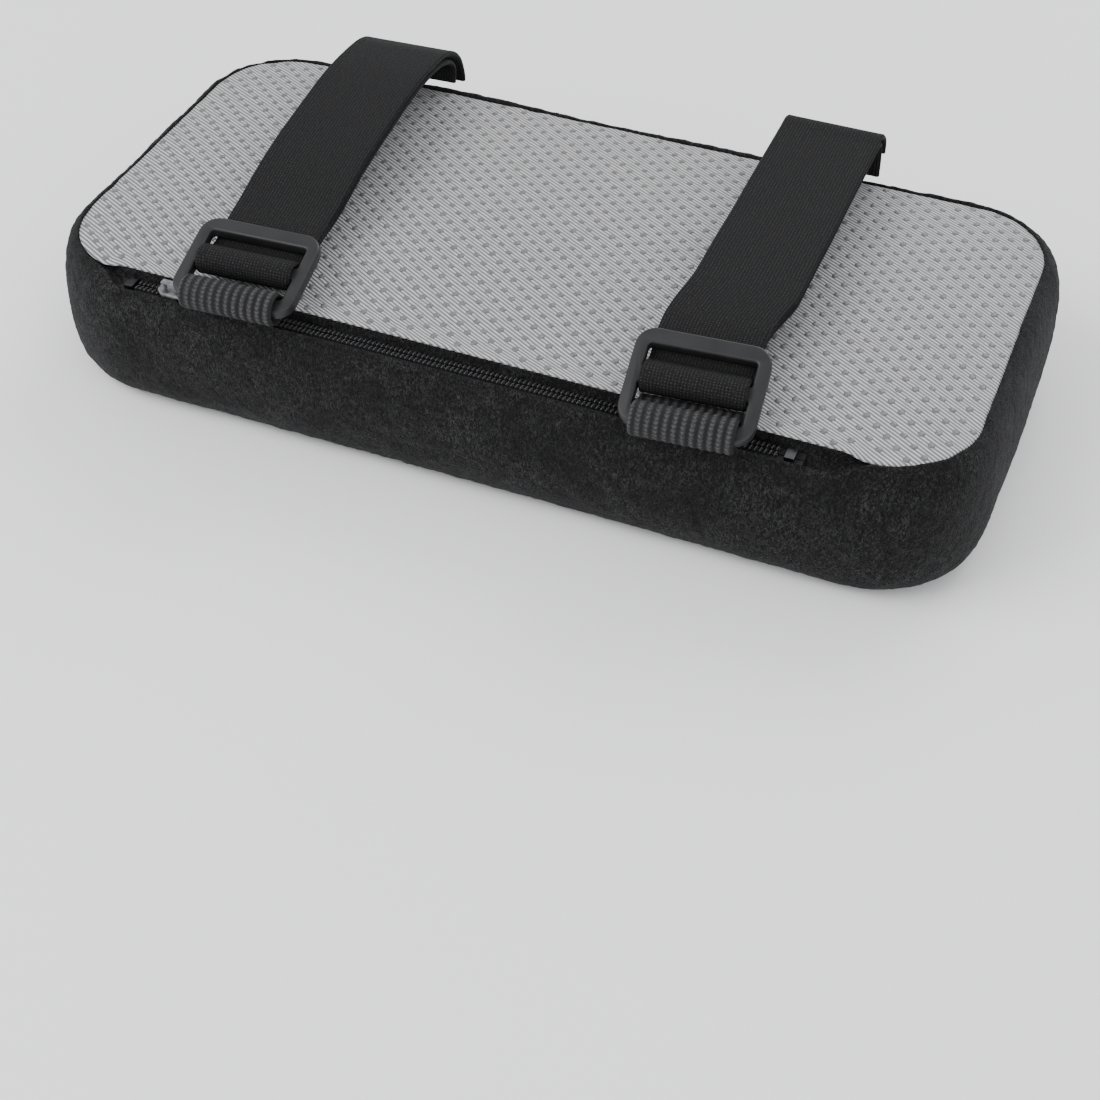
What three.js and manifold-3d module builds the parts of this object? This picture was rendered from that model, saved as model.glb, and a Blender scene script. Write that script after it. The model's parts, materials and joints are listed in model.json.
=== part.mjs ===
// Chair armrest pad, lying on its velour face with its underside up.
//
// A foam block in a zipped cover: black velour on the face and the sides, a grey grip panel
// underneath. Two elastic straps cross the underside. Each is sewn into the far long seam and
// runs through a three-bar buckle, which a short ribbed loop holds at the near long seam.
//
// Millimetres, +Z up. The origin is the middle of the velour face. +X runs along the pad and
// +Y across it, from the buckles to the straps' sewn ends.

import * as THREE from 'three';
import { mergeVertices } from 'three/addons/utils/BufferGeometryUtils.js';
import Module from 'manifold-3d';

const wasm = await Module();
wasm.setup();

// ---- driving dimensions ----

const LENGTH = 258;            // pad, end to end at its widest
const WIDTH = 127;             // pad, side to side at its widest
const HEIGHT = 40;             // velour face to the grip panel's edge
const CORNER_RADIUS = 30;      // the pad's four upright corners
const COVER_THICKNESS = 1.5;   // velour
const FOAM_CLEARANCE = 0.4;    // between the foam and the cover

const PANEL_INSET_X = 6;       // velour rim outside the grip panel, at each end
const PANEL_INSET_Y = 7;       // velour rim outside the grip panel, at each side
const PANEL_CORNER_RADIUS = 22;
const PANEL_THICKNESS = 1.2;
const PANEL_CROWN = 1.2;       // how far the middle of the panel stands above its edge

const GAP = 0.3;               // between pieces that touch

const STRAP_WIDTH = 27.5;
const STRAP_THICKNESS = 1.4;
const LAYER_SPACING = 1.8;     // from one strap layer's middle to the other's

const BUCKLE_WIDTH = 33.4;
const BUCKLE_THICKNESS = 3.2;
const BUCKLE_RAIL = 3.3;
const BUCKLE_CORNER = 5;
const OUTER_BAR = 4.4;         // near and far bars, across the bar
const CENTRE_BAR = 3.6;
const BAR_SPACING = 10.8;      // from one bar's middle to the next
const BUCKLED_STRAP_WIDTH = 26.2;
const TURN_END = 24.4;         // strap piece held in the buckle, measured from the near bar
const RUN_START = 26.8;        // where the free runs of the strap begin

const LOOP_WIDTH = 26.2;
const LOOP_THICKNESS = 1.4;
const LOOP_INNER_RADIUS = 3.0;

const ZIP_Y = -57.3;           // middle of the zip's chain
const ZIP_LEFT = -98;
const ZIP_RIGHT = 84;
const GROOVE_LEFT = -101;
const GROOVE_RIGHT = 100;
const GROOVE_HALF_WIDTH = 2.9;
const TAPE_LEVEL = 35.4;
const TAPE_THICKNESS = 0.5;
const COIL_LEVEL = 36.1;
const COIL_SIZE = [1.8, 1.3];  // each coil, across and up
const STOP_LENGTH = 2.4;
const SLIDER_X = -84;          // middle of the slider with the zip closed
const SLIDER_SIZE = [8, 5.4];
const SLIDER_LEVEL = 37.7;
const PIVOT_X = -81.2;         // the post that the pull tab turns on
const TAB_LENGTH = 13;
const TAB_WIDTH = 4.4;
const TAB_LEVEL = 38.95;

// Each side: where the strap's line passes the near bar and how far it is turned there, the
// near bar's middle, the buckle's tilt and turn, and the level line between the strap's two
// layers, from the buckle to the far edge.
const SIDES = [
  {
    name: 'left',
    strapX: -63.4,
    strapTurn: 3.4,
    bar: [-63.4, -62.8, 44.5],
    tilt: 15,
    turn: 3.4,
    run: [[-26, 49.2], [-14, 51.6], [0, 53.4], [15, 54.5], [30, 54.9], [44, 53.9]],
    innerEnd: [[54.5, 51.4], [60, 47.4], [61.4, 43.8], [60.4, 40.9]],
    outerEnd: [[55, 51.8], [61.6, 48], [65.2, 43], [66.4, 37.6]],
  },
  {
    name: 'right',
    strapX: 58,
    strapTurn: 0,
    bar: [57.8, -63.3, 42],
    tilt: 25,
    turn: 5,
    run: [[-30, 51.2], [-18, 52], [0, 52.4], [20, 52.6], [40, 52.8], [52, 52.9]],
    innerEnd: [[57.4, 52.7], [59.4, 51.6], [60.2, 47.5], [60.4, 41]],
    outerEnd: [[58.4, 52.9], [61.6, 51.9], [62.9, 49.5], [63.2, 45.6]],
  },
];

// ---- materials ----

const material = (color, roughness, metalness = 0) =>
  new THREE.MeshStandardMaterial({ color, roughness, metalness });

const FOAM = material(0xe6dfc8, 0.95);
const VELOUR = material(0x1b1b1c, 0.95);
const GRIP_FABRIC = material(0xaeaeb0, 0.7);
const ELASTIC = material(0x1e1e1f, 0.85);
const RIBBED_WEBBING = material(0x343435, 0.8);
const BLACK_PLASTIC = material(0x2b2b2d, 0.45);
const ZIP_TAPE = material(0x151516, 0.9);
const ZIP_NYLON = material(0x1d1d1e, 0.4);
const ZIP_METAL = material(0xa6a7a9, 0.35, 0.9);

// ---- helpers ----

const group = new THREE.Group();

function addPiece(name, geometry, finish, parent = group) {
  const mesh = new THREE.Mesh(geometry, finish);
  mesh.name = name;
  parent.add(mesh);
  return mesh;
}

function toSolid(geometry) {
  const bare = geometry.clone();
  bare.deleteAttribute('normal');
  bare.deleteAttribute('uv');
  const merged = mergeVertices(bare, 1e-4);
  return new wasm.Manifold(new wasm.Mesh({
    numProp: 3,
    vertProperties: new Float32Array(merged.attributes.position.array),
    triVerts: new Uint32Array(merged.index.array),
  }));
}

function toGeometry(solid) {
  const mesh = solid.getMesh();
  const geometry = new THREE.BufferGeometry();
  geometry.setAttribute('position', new THREE.BufferAttribute(mesh.vertProperties, 3));
  geometry.setIndex(new THREE.BufferAttribute(mesh.triVerts, 1));
  return geometry;
}

function blockAt(low, high) {
  const size = high.map((value, i) => value - low[i]);
  const middle = high.map((value, i) => (value + low[i]) / 2);
  return new THREE.BoxGeometry(...size).translate(...middle);
}

function roundedOutline(length, width, radius) {
  const x = length / 2 - radius;
  const y = width / 2 - radius;
  const shape = new THREE.Shape();
  shape.absarc(x, y, radius, 0, Math.PI / 2);
  shape.absarc(-x, y, radius, Math.PI / 2, Math.PI);
  shape.absarc(-x, -y, radius, Math.PI, Math.PI * 1.5);
  shape.absarc(x, -y, radius, Math.PI * 1.5, Math.PI * 2);
  shape.closePath();
  return shape;
}

// A closed body through level rounded rectangles. Each level is [inset, z], measured in
// from an outline of the given length, width and corner radius, lowest level first.
function loftedBlock(length, width, radius, levels) {
  const cornerSteps = 7;
  const points = [];
  for (const [inset, z] of levels) {
    const r = Math.max(radius - inset, 3);
    const x = length / 2 - inset - r;
    const y = width / 2 - inset - r;
    const centres = [[x, y], [-x, y], [-x, -y], [x, -y]];
    centres.forEach(([cx, cy], quarter) => {
      for (let step = 0; step <= cornerSteps; step += 1) {
        const angle = (quarter + step / cornerSteps) * Math.PI / 2;
        points.push(cx + r * Math.cos(angle), cy + r * Math.sin(angle), z);
      }
    });
  }
  const ring = 4 * (cornerSteps + 1);
  const index = [];
  for (let level = 0; level < levels.length - 1; level += 1) {
    for (let i = 0; i < ring; i += 1) {
      const a = level * ring + i;
      const b = level * ring + (i + 1) % ring;
      index.push(a, b, b + ring, a, b + ring, a + ring);
    }
  }
  const top = (levels.length - 1) * ring;
  for (let i = 1; i < ring - 1; i += 1) {
    index.push(0, i + 1, i);
    index.push(top, top + i, top + i + 1);
  }
  const geometry = new THREE.BufferGeometry();
  geometry.setAttribute('position', new THREE.Float32BufferAttribute(points, 3));
  geometry.setIndex(index);
  return geometry;
}

// Turns an outline drawn in (y, z) into a solid of the given width, centred on x = 0.
function acrossX(shape, width, curveSegments = 12) {
  const geometry = new THREE.ExtrudeGeometry(shape, {
    depth: width,
    bevelEnabled: false,
    curveSegments,
  });
  const basis = new THREE.Matrix4().makeBasis(
    new THREE.Vector3(0, 1, 0),
    new THREE.Vector3(0, 0, 1),
    new THREE.Vector3(1, 0, 0),
  );
  return geometry.applyMatrix4(basis).translate(-width / 2, 0, 0);
}

// The outline of a band of the given thickness, with its middle line shifted sideways.
function bandOutline(points, thickness, shift, steps) {
  const curve = new THREE.SplineCurve(points.map(([y, z]) => new THREE.Vector2(y, z)));
  const above = [];
  const below = [];
  for (let step = 0; step <= steps; step += 1) {
    const point = curve.getPoint(step / steps);
    const tangent = curve.getTangent(step / steps);
    const normal = new THREE.Vector2(-tangent.y, tangent.x);
    above.push(point.clone().addScaledVector(normal, shift + thickness / 2));
    below.push(point.clone().addScaledVector(normal, shift - thickness / 2));
  }
  return new THREE.Shape(below.concat(above.reverse()));
}

// ---- foam, cover and grip panel ----

// How the cover's side runs, from the velour face up to the rim: [inset, z].
const COVER_SIDE = [
  [8.5, 0], [5.2, 0.8], [2.6, 2.9], [1.0, 6.5], [0.2, 12], [0, 19],
  [0.3, 26], [0.9, 31.5], [2.0, 35.6], [3.9, 38.4], [6.2, 39.8],
];

function addFoam() {
  const inset = COVER_THICKNESS + FOAM_CLEARANCE;
  const levels = [
    [9.6 + inset, inset], [4 + inset, 3.6], [1 + inset, 10], [inset, 19], [0.8 + inset, 28],
    [3.4 + inset, 32], [9.4 + inset, 34.6], [13 + inset, HEIGHT - PANEL_THICKNESS - GAP],
  ];
  addPiece('foam_core', loftedBlock(LENGTH, WIDTH, CORNER_RADIUS, levels), FOAM);
}

function zipGroove() {
  return toSolid(blockAt(
    [GROOVE_LEFT, ZIP_Y - GROOVE_HALF_WIDTH, TAPE_LEVEL - GAP],
    [GROOVE_RIGHT, ZIP_Y + GROOVE_HALF_WIDTH, HEIGHT + 5],
  ));
}

function addCover() {
  const outside = toSolid(loftedBlock(LENGTH, WIDTH, CORNER_RADIUS, COVER_SIDE));
  const innerLevels = [
    [9.6, COVER_THICKNESS], [3.6, 3.4], [1.1, 8], [0.1, 19], [0.6, 28], [2.2, 34.5],
    [3.6, 36.8], [5.4, 38.2],
  ].map(([inset, z]) => [inset + COVER_THICKNESS, z]);
  const inside = toSolid(loftedBlock(LENGTH, WIDTH, CORNER_RADIUS, innerLevels));
  const mouth = toSolid(new THREE.ExtrudeGeometry(
    roundedOutline(
      LENGTH - 2 * PANEL_INSET_X + 2 * GAP,
      WIDTH - 2 * PANEL_INSET_Y + 2 * GAP,
      PANEL_CORNER_RADIUS + GAP,
    ),
    { depth: 6, bevelEnabled: false, curveSegments: 8 },
  ).translate(0, 0, HEIGHT - 4));
  const cover = outside.subtract(inside).subtract(mouth).subtract(zipGroove());
  addPiece('velour_cover', toGeometry(cover), VELOUR);
}

function addPanel() {
  const edge = HEIGHT - 0.1;
  const levels = [
    [0, HEIGHT - PANEL_THICKNESS], [0, edge], [8, edge + 0.5 * PANEL_CROWN],
    [20, edge + 0.85 * PANEL_CROWN], [38, edge + PANEL_CROWN],
  ];
  const slab = toSolid(loftedBlock(
    LENGTH - 2 * PANEL_INSET_X,
    WIDTH - 2 * PANEL_INSET_Y,
    PANEL_CORNER_RADIUS,
    levels,
  ));
  addPiece('grip_panel', toGeometry(slab.subtract(zipGroove())), GRIP_FABRIC);
}

// ---- zip in the near long seam ----

function addZip() {
  const tapeTop = TAPE_LEVEL + TAPE_THICKNESS;
  const outward = GROOVE_HALF_WIDTH - GAP;
  addPiece('zip_tape_cover_side', blockAt(
    [ZIP_LEFT - 2, ZIP_Y - outward, TAPE_LEVEL],
    [ZIP_RIGHT + 2, ZIP_Y - 0.2, tapeTop],
  ), ZIP_TAPE);
  addPiece('zip_tape_panel_side', blockAt(
    [ZIP_LEFT - 2, ZIP_Y + 0.2, TAPE_LEVEL],
    [ZIP_RIGHT + 2, ZIP_Y + outward, tapeTop],
  ), ZIP_TAPE);

  const [coilWidth, coilHeight] = COIL_SIZE;
  const coilLeft = ZIP_LEFT + STOP_LENGTH + GAP;
  const coilRight = ZIP_RIGHT - STOP_LENGTH - GAP;
  addPiece('zip_coil_cover_side', blockAt(
    [coilLeft, ZIP_Y - 0.15 - coilWidth, COIL_LEVEL],
    [coilRight, ZIP_Y - 0.15, COIL_LEVEL + coilHeight],
  ), ZIP_NYLON);
  addPiece('zip_coil_panel_side', blockAt(
    [coilLeft, ZIP_Y + 0.15, COIL_LEVEL],
    [coilRight, ZIP_Y + 0.15 + coilWidth, COIL_LEVEL + coilHeight],
  ), ZIP_NYLON);

  const stopHalf = coilWidth + 0.3;
  addPiece('zip_stop_closed_end', blockAt(
    [ZIP_LEFT, ZIP_Y - stopHalf, COIL_LEVEL],
    [ZIP_LEFT + STOP_LENGTH, ZIP_Y + stopHalf, COIL_LEVEL + coilHeight],
  ), ZIP_METAL);
  addPiece('zip_stop_open_end', blockAt(
    [ZIP_RIGHT - STOP_LENGTH, ZIP_Y - stopHalf, COIL_LEVEL],
    [ZIP_RIGHT, ZIP_Y + stopHalf, COIL_LEVEL + coilHeight],
  ), ZIP_METAL);
}

// The slider's top plate and side flanges over the chain, with the bridge that holds the tab.
function addZipSlider() {
  const [length, width] = SLIDER_SIZE;
  const plateThickness = 0.8;
  const plateTop = SLIDER_LEVEL + plateThickness;
  const nose = roundedOutline(length, width, 2);
  let body = toSolid(new THREE.ExtrudeGeometry(nose, {
    depth: plateThickness,
    bevelEnabled: false,
    curveSegments: 6,
  }).translate(SLIDER_X, ZIP_Y, SLIDER_LEVEL));
  for (const side of [-1, 1]) {
    const outer = ZIP_Y + side * width / 2;
    const inner = ZIP_Y + side * (width / 2 - 0.45);
    body = body.add(toSolid(blockAt(
      [SLIDER_X - 2.2, Math.min(outer, inner), COIL_LEVEL + 0.1],
      [SLIDER_X + 2.2, Math.max(outer, inner), SLIDER_LEVEL + 0.2],
    )));
  }
  const bridgeTop = 40.3;
  const bridgeThickness = 0.35;
  const backPostX = SLIDER_X - 2.6;
  for (const x of [backPostX, PIVOT_X]) {
    const height = bridgeTop - plateTop + 0.1;
    const post = new THREE.CylinderGeometry(0.6, 0.6, height, 12).rotateX(Math.PI / 2);
    body = body.add(toSolid(post.translate(x, ZIP_Y, bridgeTop - height / 2)));
  }
  body = body.add(toSolid(blockAt(
    [backPostX - 0.6, ZIP_Y - 0.8, bridgeTop - bridgeThickness],
    [PIVOT_X + 0.6, ZIP_Y + 0.8, bridgeTop],
  )));
  addPiece('zip_slider', toGeometry(body), ZIP_METAL);
}

function addPullTab() {
  const ringRadius = TAB_WIDTH / 2;
  const shape = new THREE.Shape();
  const farCentre = TAB_LENGTH - ringRadius;
  shape.absarc(farCentre, 0, ringRadius, -Math.PI / 2, Math.PI / 2);
  shape.absarc(0, 0, ringRadius, Math.PI / 2, Math.PI * 1.5);
  shape.closePath();
  const eye = new THREE.Path();
  eye.absarc(0, 0, 1, 0, Math.PI * 2, true);
  const window = new THREE.Path();
  window.absarc(farCentre - 1, 0, 0.9, Math.PI / 2, -Math.PI / 2, true);
  window.absarc(farCentre - 4.5, 0, 0.9, -Math.PI / 2, -Math.PI * 1.5, true);
  window.closePath();
  shape.holes.push(eye, window);
  const geometry = new THREE.ExtrudeGeometry(shape, {
    depth: 0.7,
    bevelEnabled: false,
    curveSegments: 12,
  });
  addPiece('zip_pull_tab', geometry, ZIP_METAL).position.set(PIVOT_X, ZIP_Y, TAB_LEVEL);
}

// ---- buckles, loops and straps ----

// Buckle outline seen from above: x across the strap, y from the near bar to the far bar.
function buckleGeometry() {
  const depth = 2 * BAR_SPACING + OUTER_BAR;
  const outline = roundedOutline(BUCKLE_WIDTH, depth, BUCKLE_CORNER);
  const innerHalf = BUCKLE_WIDTH / 2 - BUCKLE_RAIL;
  const slotStart = CENTRE_BAR / 2;
  const slotEnd = BAR_SPACING - OUTER_BAR / 2;
  for (const side of [-1, 1]) {
    const low = side < 0 ? -slotEnd : slotStart;
    const high = side < 0 ? -slotStart : slotEnd;
    const slot = new THREE.Path();
    slot.moveTo(-innerHalf, low);
    slot.lineTo(-innerHalf, high);
    slot.lineTo(innerHalf, high);
    slot.lineTo(innerHalf, low);
    slot.closePath();
    outline.holes.push(slot);
  }
  const bevel = 0.5;
  const geometry = new THREE.ExtrudeGeometry(outline, {
    depth: BUCKLE_THICKNESS - 2 * bevel,
    bevelThickness: bevel,
    bevelSize: bevel,
    bevelOffset: -bevel,
    bevelSegments: 2,
    curveSegments: 6,
  });
  return geometry.translate(0, BAR_SPACING, bevel - BUCKLE_THICKNESS / 2);
}

// The strap inside the buckle: [along, up] from the near bar, with the buckle lying flat.
// It comes in below, turns round the centre bar through both slots and leaves just above.
const STRAP_IN_BUCKLE = [
  [TURN_END, -4.4], [19.5, -4.4], [14.5, -3.9], [10.8, -3.0], [8.7, -2.2], [7.9, 0],
  [8.8, 2.2], [10.8, 2.95], [13, 2.3], [14.7, 0.4], [16.2, -1.6], [18.6, -2.6],
  [TURN_END, -2.6],
];

function loopGeometry(side) {
  const outer = LOOP_INNER_RADIUS + LOOP_THICKNESS;
  const [, barY, barZ] = side.bar;
  const tailEnd = -54.7 - barY;
  const tailLow = 40.6 - barZ;
  const tailHigh = tailLow + 1.6;
  const shape = new THREE.Shape();
  shape.moveTo(tailEnd, tailLow);
  shape.lineTo(tailEnd, tailHigh);
  shape.lineTo(tailEnd - 1.8, tailHigh + 0.5);
  shape.absarc(0, 0, outer, 0.38, Math.PI * 1.5 + 0.35);
  const lowStart = Math.max(tailEnd - 4.9, outer * Math.sin(0.35) + 0.4);
  shape.lineTo(lowStart, Math.max(tailLow, -outer * 0.86));
  shape.closePath();
  const hole = new THREE.Path();
  hole.absarc(0, 0, LOOP_INNER_RADIUS, 0, Math.PI * 2, true);
  shape.holes.push(hole);
  return acrossX(shape, LOOP_WIDTH, 24);
}

// Sets a strap's run on its line, turned about the point where the line passes the bar.
function onStrapLine(side, geometry) {
  const barY = side.bar[1];
  return geometry
    .translate(0, -barY, 0)
    .rotateZ(THREE.MathUtils.degToRad(side.strapTurn))
    .translate(side.strapX, barY, 0);
}

// A point of the tilted buckle, given along it and up from it, as [y, z] in the pad.
function inTiltedBuckle(side, along, up) {
  const tilt = THREE.MathUtils.degToRad(side.tilt);
  const [, barY, barZ] = side.bar;
  return [
    barY + along * Math.cos(tilt) - up * Math.sin(tilt),
    barZ + along * Math.sin(tilt) + up * Math.cos(tilt),
  ];
}

function addSide(side) {
  const tilt = THREE.MathUtils.degToRad(side.tilt);
  const turn = THREE.MathUtils.degToRad(side.turn);

  const atBar = new THREE.Group();
  atBar.position.set(...side.bar);
  atBar.rotation.z = turn;
  group.add(atBar);
  addPiece(`buckle_loop_${side.name}`, loopGeometry(side), RIBBED_WEBBING, atBar);

  const tilted = new THREE.Group();
  tilted.rotation.x = tilt;
  atBar.add(tilted);
  addPiece(`buckle_${side.name}`, buckleGeometry(), BLACK_PLASTIC, tilted);
  const turnOutline = bandOutline(STRAP_IN_BUCKLE, STRAP_THICKNESS, 0, 72);
  addPiece(
    `strap_turn_${side.name}`,
    acrossX(turnOutline, BUCKLED_STRAP_WIDTH),
    ELASTIC,
    tilted,
  );

  const half = LAYER_SPACING / 2;
  const start = inTiltedBuckle(side, RUN_START, -3.5);
  const inner = bandOutline([start, ...side.run, ...side.innerEnd], STRAP_THICKNESS, -half, 56);
  const outer = bandOutline([start, ...side.run, ...side.outerEnd], STRAP_THICKNESS, half, 56);
  const innerRun = onStrapLine(side, acrossX(inner, STRAP_WIDTH));
  const outerRun = onStrapLine(side, acrossX(outer, STRAP_WIDTH));
  addPiece(`strap_inner_run_${side.name}`, innerRun, ELASTIC);
  addPiece(`strap_outer_run_${side.name}`, outerRun, ELASTIC);
}

addFoam();
addCover();
addPanel();
addZip();
addZipSlider();
addPullTab();
SIDES.forEach(addSide);

export default group;
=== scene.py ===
import json
import math

import bpy
import numpy as np
from mathutils import Matrix, Vector, noise
from mathutils.bvhtree import BVHTree


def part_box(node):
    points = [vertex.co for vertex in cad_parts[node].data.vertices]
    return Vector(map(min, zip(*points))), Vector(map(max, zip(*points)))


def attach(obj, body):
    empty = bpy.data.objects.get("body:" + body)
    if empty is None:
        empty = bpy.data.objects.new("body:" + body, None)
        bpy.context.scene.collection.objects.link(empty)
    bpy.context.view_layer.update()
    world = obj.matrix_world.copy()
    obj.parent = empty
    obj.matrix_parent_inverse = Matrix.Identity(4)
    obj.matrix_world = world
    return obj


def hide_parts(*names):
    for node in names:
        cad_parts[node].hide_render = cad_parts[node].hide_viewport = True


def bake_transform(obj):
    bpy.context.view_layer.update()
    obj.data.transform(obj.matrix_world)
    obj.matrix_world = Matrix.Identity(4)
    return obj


bl_info = {
    "name": "Chair Armrest Pad",
    "version": (1, 0, 0),
    "blender": (4, 5, 0),
    "location": "View3D > Sidebar > Armrest Pad",
    "description": "Builds the visible pieces of a strapped, zipped armrest pad round its frame",
    "category": "Add Mesh",
}

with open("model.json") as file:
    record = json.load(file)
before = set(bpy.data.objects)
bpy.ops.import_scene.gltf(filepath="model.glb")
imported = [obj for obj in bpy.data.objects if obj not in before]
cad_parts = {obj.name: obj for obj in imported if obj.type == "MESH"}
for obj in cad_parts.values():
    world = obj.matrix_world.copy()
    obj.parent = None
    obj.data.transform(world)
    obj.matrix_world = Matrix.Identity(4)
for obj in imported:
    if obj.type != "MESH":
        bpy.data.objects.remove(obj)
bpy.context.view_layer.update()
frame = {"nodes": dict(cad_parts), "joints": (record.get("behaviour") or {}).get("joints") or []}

MM = 0.001
RENDER_LEVELS = 2

COVER_LOW, COVER_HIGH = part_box("velour_cover")
PANEL_LOW, PANEL_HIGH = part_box("grip_panel")
TAPE_LOW, TAPE_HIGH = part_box("zip_tape_cover_side")
PANEL_TAPE_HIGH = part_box("zip_tape_panel_side")[1]

# Where each strap's line passes its bar and how far it is turned there, the buckle's tilt,
# the level line between the strap's two layers from the buckle to the far edge, then each
# layer's own way down: (y, z) in millimetres. The numbers repeat the frame's solids.
SIDES = {
    "left": {
        "strap_x": -63.4,
        "strap_turn": 3.4,
        "tilt": 15,
        "run": [(-26, 49.2), (-14, 51.6), (0, 53.4), (15, 54.5), (30, 54.9), (44, 53.9)],
        "inner_end": [(54.5, 51.4), (60, 47.4), (61.4, 43.8), (60.4, 40.9)],
        "outer_end": [(55, 51.8), (61.6, 48), (65.2, 43), (66.4, 37.6)],
    },
    "right": {
        "strap_x": 58,
        "strap_turn": 0,
        "tilt": 25,
        "run": [(-30, 51.2), (-18, 52), (0, 52.4), (20, 52.6), (40, 52.8), (52, 52.9)],
        "inner_end": [(57.4, 52.7), (59.4, 51.6), (60.2, 47.5), (60.4, 41)],
        "outer_end": [(58.4, 52.9), (61.6, 51.9), (62.9, 49.5), (63.2, 45.6)],
    },
}

# The strap inside the buckle, along and up from the near bar with the buckle lying flat.
STRAP_IN_BUCKLE = [
    (24.4, -4.4), (19.5, -4.4), (14.5, -3.9), (10.8, -3.0), (8.7, -2.2), (7.9, 0),
    (8.8, 2.2), (10.8, 2.95), (13, 2.3), (14.7, 0.4), (16.2, -1.6), (18.6, -2.6),
    (24.4, -2.6),
]

BUCKLE_THICKNESS = 3.2 * MM
BUCKLE_RAIL = 3.3 * MM
BUCKLE_CORNER = 5 * MM
OUTER_BAR = 4.4 * MM
CENTRE_BAR = 3.6 * MM

# In millimetres: where the loops' tails end in y and lie in z, how far from the near bar the
# strap's level run starts and its turn in the buckle ends, and the strap's layers apart.
LOOP_TAIL_END = -54.7
LOOP_TAIL_LEVEL = 40.6
RUN_START = 26.8
LAYER_SPACING = 1.8

# How the cover's side runs up from the velour face to the rim: (inset, z) in millimetres.
COVER_SIDE = [
    (8.5, 0), (5.2, 0.8), (2.6, 2.9), (1.0, 6.5), (0.2, 12), (0, 19),
    (0.3, 26), (0.9, 31.5), (2.0, 35.6), (3.9, 38.4), (6.2, 39.8),
]


# ---- settings ----

def length_setting(name, description, millimetres):
    return bpy.props.FloatProperty(
        name=name, description=description, default=millimetres * MM, unit="LENGTH")


def angle_setting(name, description, degrees):
    return bpy.props.FloatProperty(
        name=name, description=description, default=math.radians(degrees), subtype="ANGLE")


def colour_setting(name, description, value):
    return bpy.props.FloatVectorProperty(
        name=name, description=description, default=value, subtype="COLOR")


class ArmrestPadSizes(bpy.types.PropertyGroup):
    corner_radius: length_setting("Corner radius", "Radius of the pad's upright corners", 30)
    panel_corner_radius: length_setting(
        "Panel corner radius", "Radius of the grip panel's corners", 22)
    pile_depth: length_setting("Pile depth", "How far tufts of the velour's pile stand up", 0.22)
    pucker_depth: length_setting(
        "Pucker depth", "How deep the seam gathers the grip panel's edge", 0.6)
    dot_pitch_long: length_setting(
        "Dot pitch along", "Distance between dots in a row along the pad", 6.9)
    dot_pitch_cross: length_setting("Dot pitch across", "Distance between rows that line up", 4.8)
    dot_diameter: length_setting("Dot diameter", "Diameter of a grip dot", 1.9)
    dot_height: length_setting("Dot height", "How far a grip dot stands up", 0.28)
    dot_turn: angle_setting(
        "Dot row angle", "How far the rows of dots lean from the pad's length", -6)
    twill_pitch: length_setting("Twill pitch", "Distance between the twill's diagonal ribs", 1.0)
    twill_angle: angle_setting(
        "Twill angle", "How far the twill's ribs lean from the pad's length", -28)
    strap_width: length_setting("Strap width", "Width of the elastic strap", 27.5)
    buckled_width: length_setting(
        "Width in buckle", "Width of the webbing where the buckle holds it", 26.2)
    webbing_thickness: length_setting(
        "Webbing thickness", "Thickness of the strap and the loop", 1.4)
    loop_ribs: bpy.props.IntProperty(
        name="Loop ribs", description="Ribs across the short loop's webbing", default=12)
    buckle_width: length_setting("Buckle width", "Buckle, from rail to rail", 33.4)
    bar_spacing: length_setting("Bar spacing", "From one buckle bar's middle to the next", 10.8)
    coil_pitch: length_setting("Coil pitch", "Distance between turns of the zip's coil", 1.25)


class ArmrestPadColours(bpy.types.PropertyGroup):
    velour_dark: colour_setting(
        "Velour, nap down", "Velour where the pile lies away", (0.0035, 0.0035, 0.0037))
    velour_light: colour_setting(
        "Velour, nap up", "Velour where the pile is brushed up", (0.052, 0.052, 0.053))
    # The twill is one yarn: the rib colour is a painted highlight on the raised ribs, and the
    # ground colour is painted shade in the grooves between them.
    grip_rib_lit: colour_setting("Twill rib", "The grip fabric's raised ribs", (0.56, 0.56, 0.57))
    grip_ground_shaded: colour_setting(
        "Twill ground", "The grip fabric between its ribs", (0.115, 0.115, 0.117))
    grip_dot: colour_setting(
        "Grip dot", "The moulded dots on the grip fabric", (0.105, 0.105, 0.107))
    elastic: colour_setting("Elastic", "The two long straps", (0.0085, 0.0085, 0.0088))
    webbing: colour_setting("Ribbed webbing", "The two short loops", (0.030, 0.030, 0.031))
    plastic: colour_setting("Buckle plastic", "The moulded buckles", (0.012, 0.012, 0.0125))
    metal: colour_setting("Zip metal", "Slider, pull and stops", (0.30, 0.30, 0.31))
    floor: colour_setting("Floor", "The plain pale floor", (0.91, 0.91, 0.91))


def sizes():
    return bpy.context.scene.armrest_sizes


def colours():
    return bpy.context.scene.armrest_colours


# ---- small tools ----

def deselect_all():
    if bpy.context.object and bpy.context.object.mode != "OBJECT":
        bpy.ops.object.mode_set(mode="OBJECT")
    bpy.ops.object.select_all(action="DESELECT")


def make_active(obj):
    deselect_all()
    obj.select_set(True)
    bpy.context.view_layer.objects.active = obj


def mesh_piece(name, points, faces, uvs=None):
    """A new object from points in metres, faces and, where given, a UV pair for each point."""
    mesh = bpy.data.meshes.new(name)
    mesh.from_pydata([tuple(p) for p in points], [], faces)
    if uvs is not None:
        layer = mesh.uv_layers.new(name="weave")
        for loop in mesh.loops:
            layer.data[loop.index].uv = uvs[loop.vertex_index]
    obj = bpy.data.objects.new(name, mesh)
    bpy.context.scene.collection.objects.link(obj)
    return obj


def point_outwards(obj):
    make_active(obj)
    bpy.ops.object.mode_set(mode="EDIT")
    bpy.ops.mesh.select_all(action="SELECT")
    bpy.ops.mesh.normals_make_consistent(inside=False)
    bpy.ops.object.mode_set(mode="OBJECT")


def apply_modifier(obj, modifier):
    make_active(obj)
    bpy.ops.object.modifier_apply(modifier=modifier.name)


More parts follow.
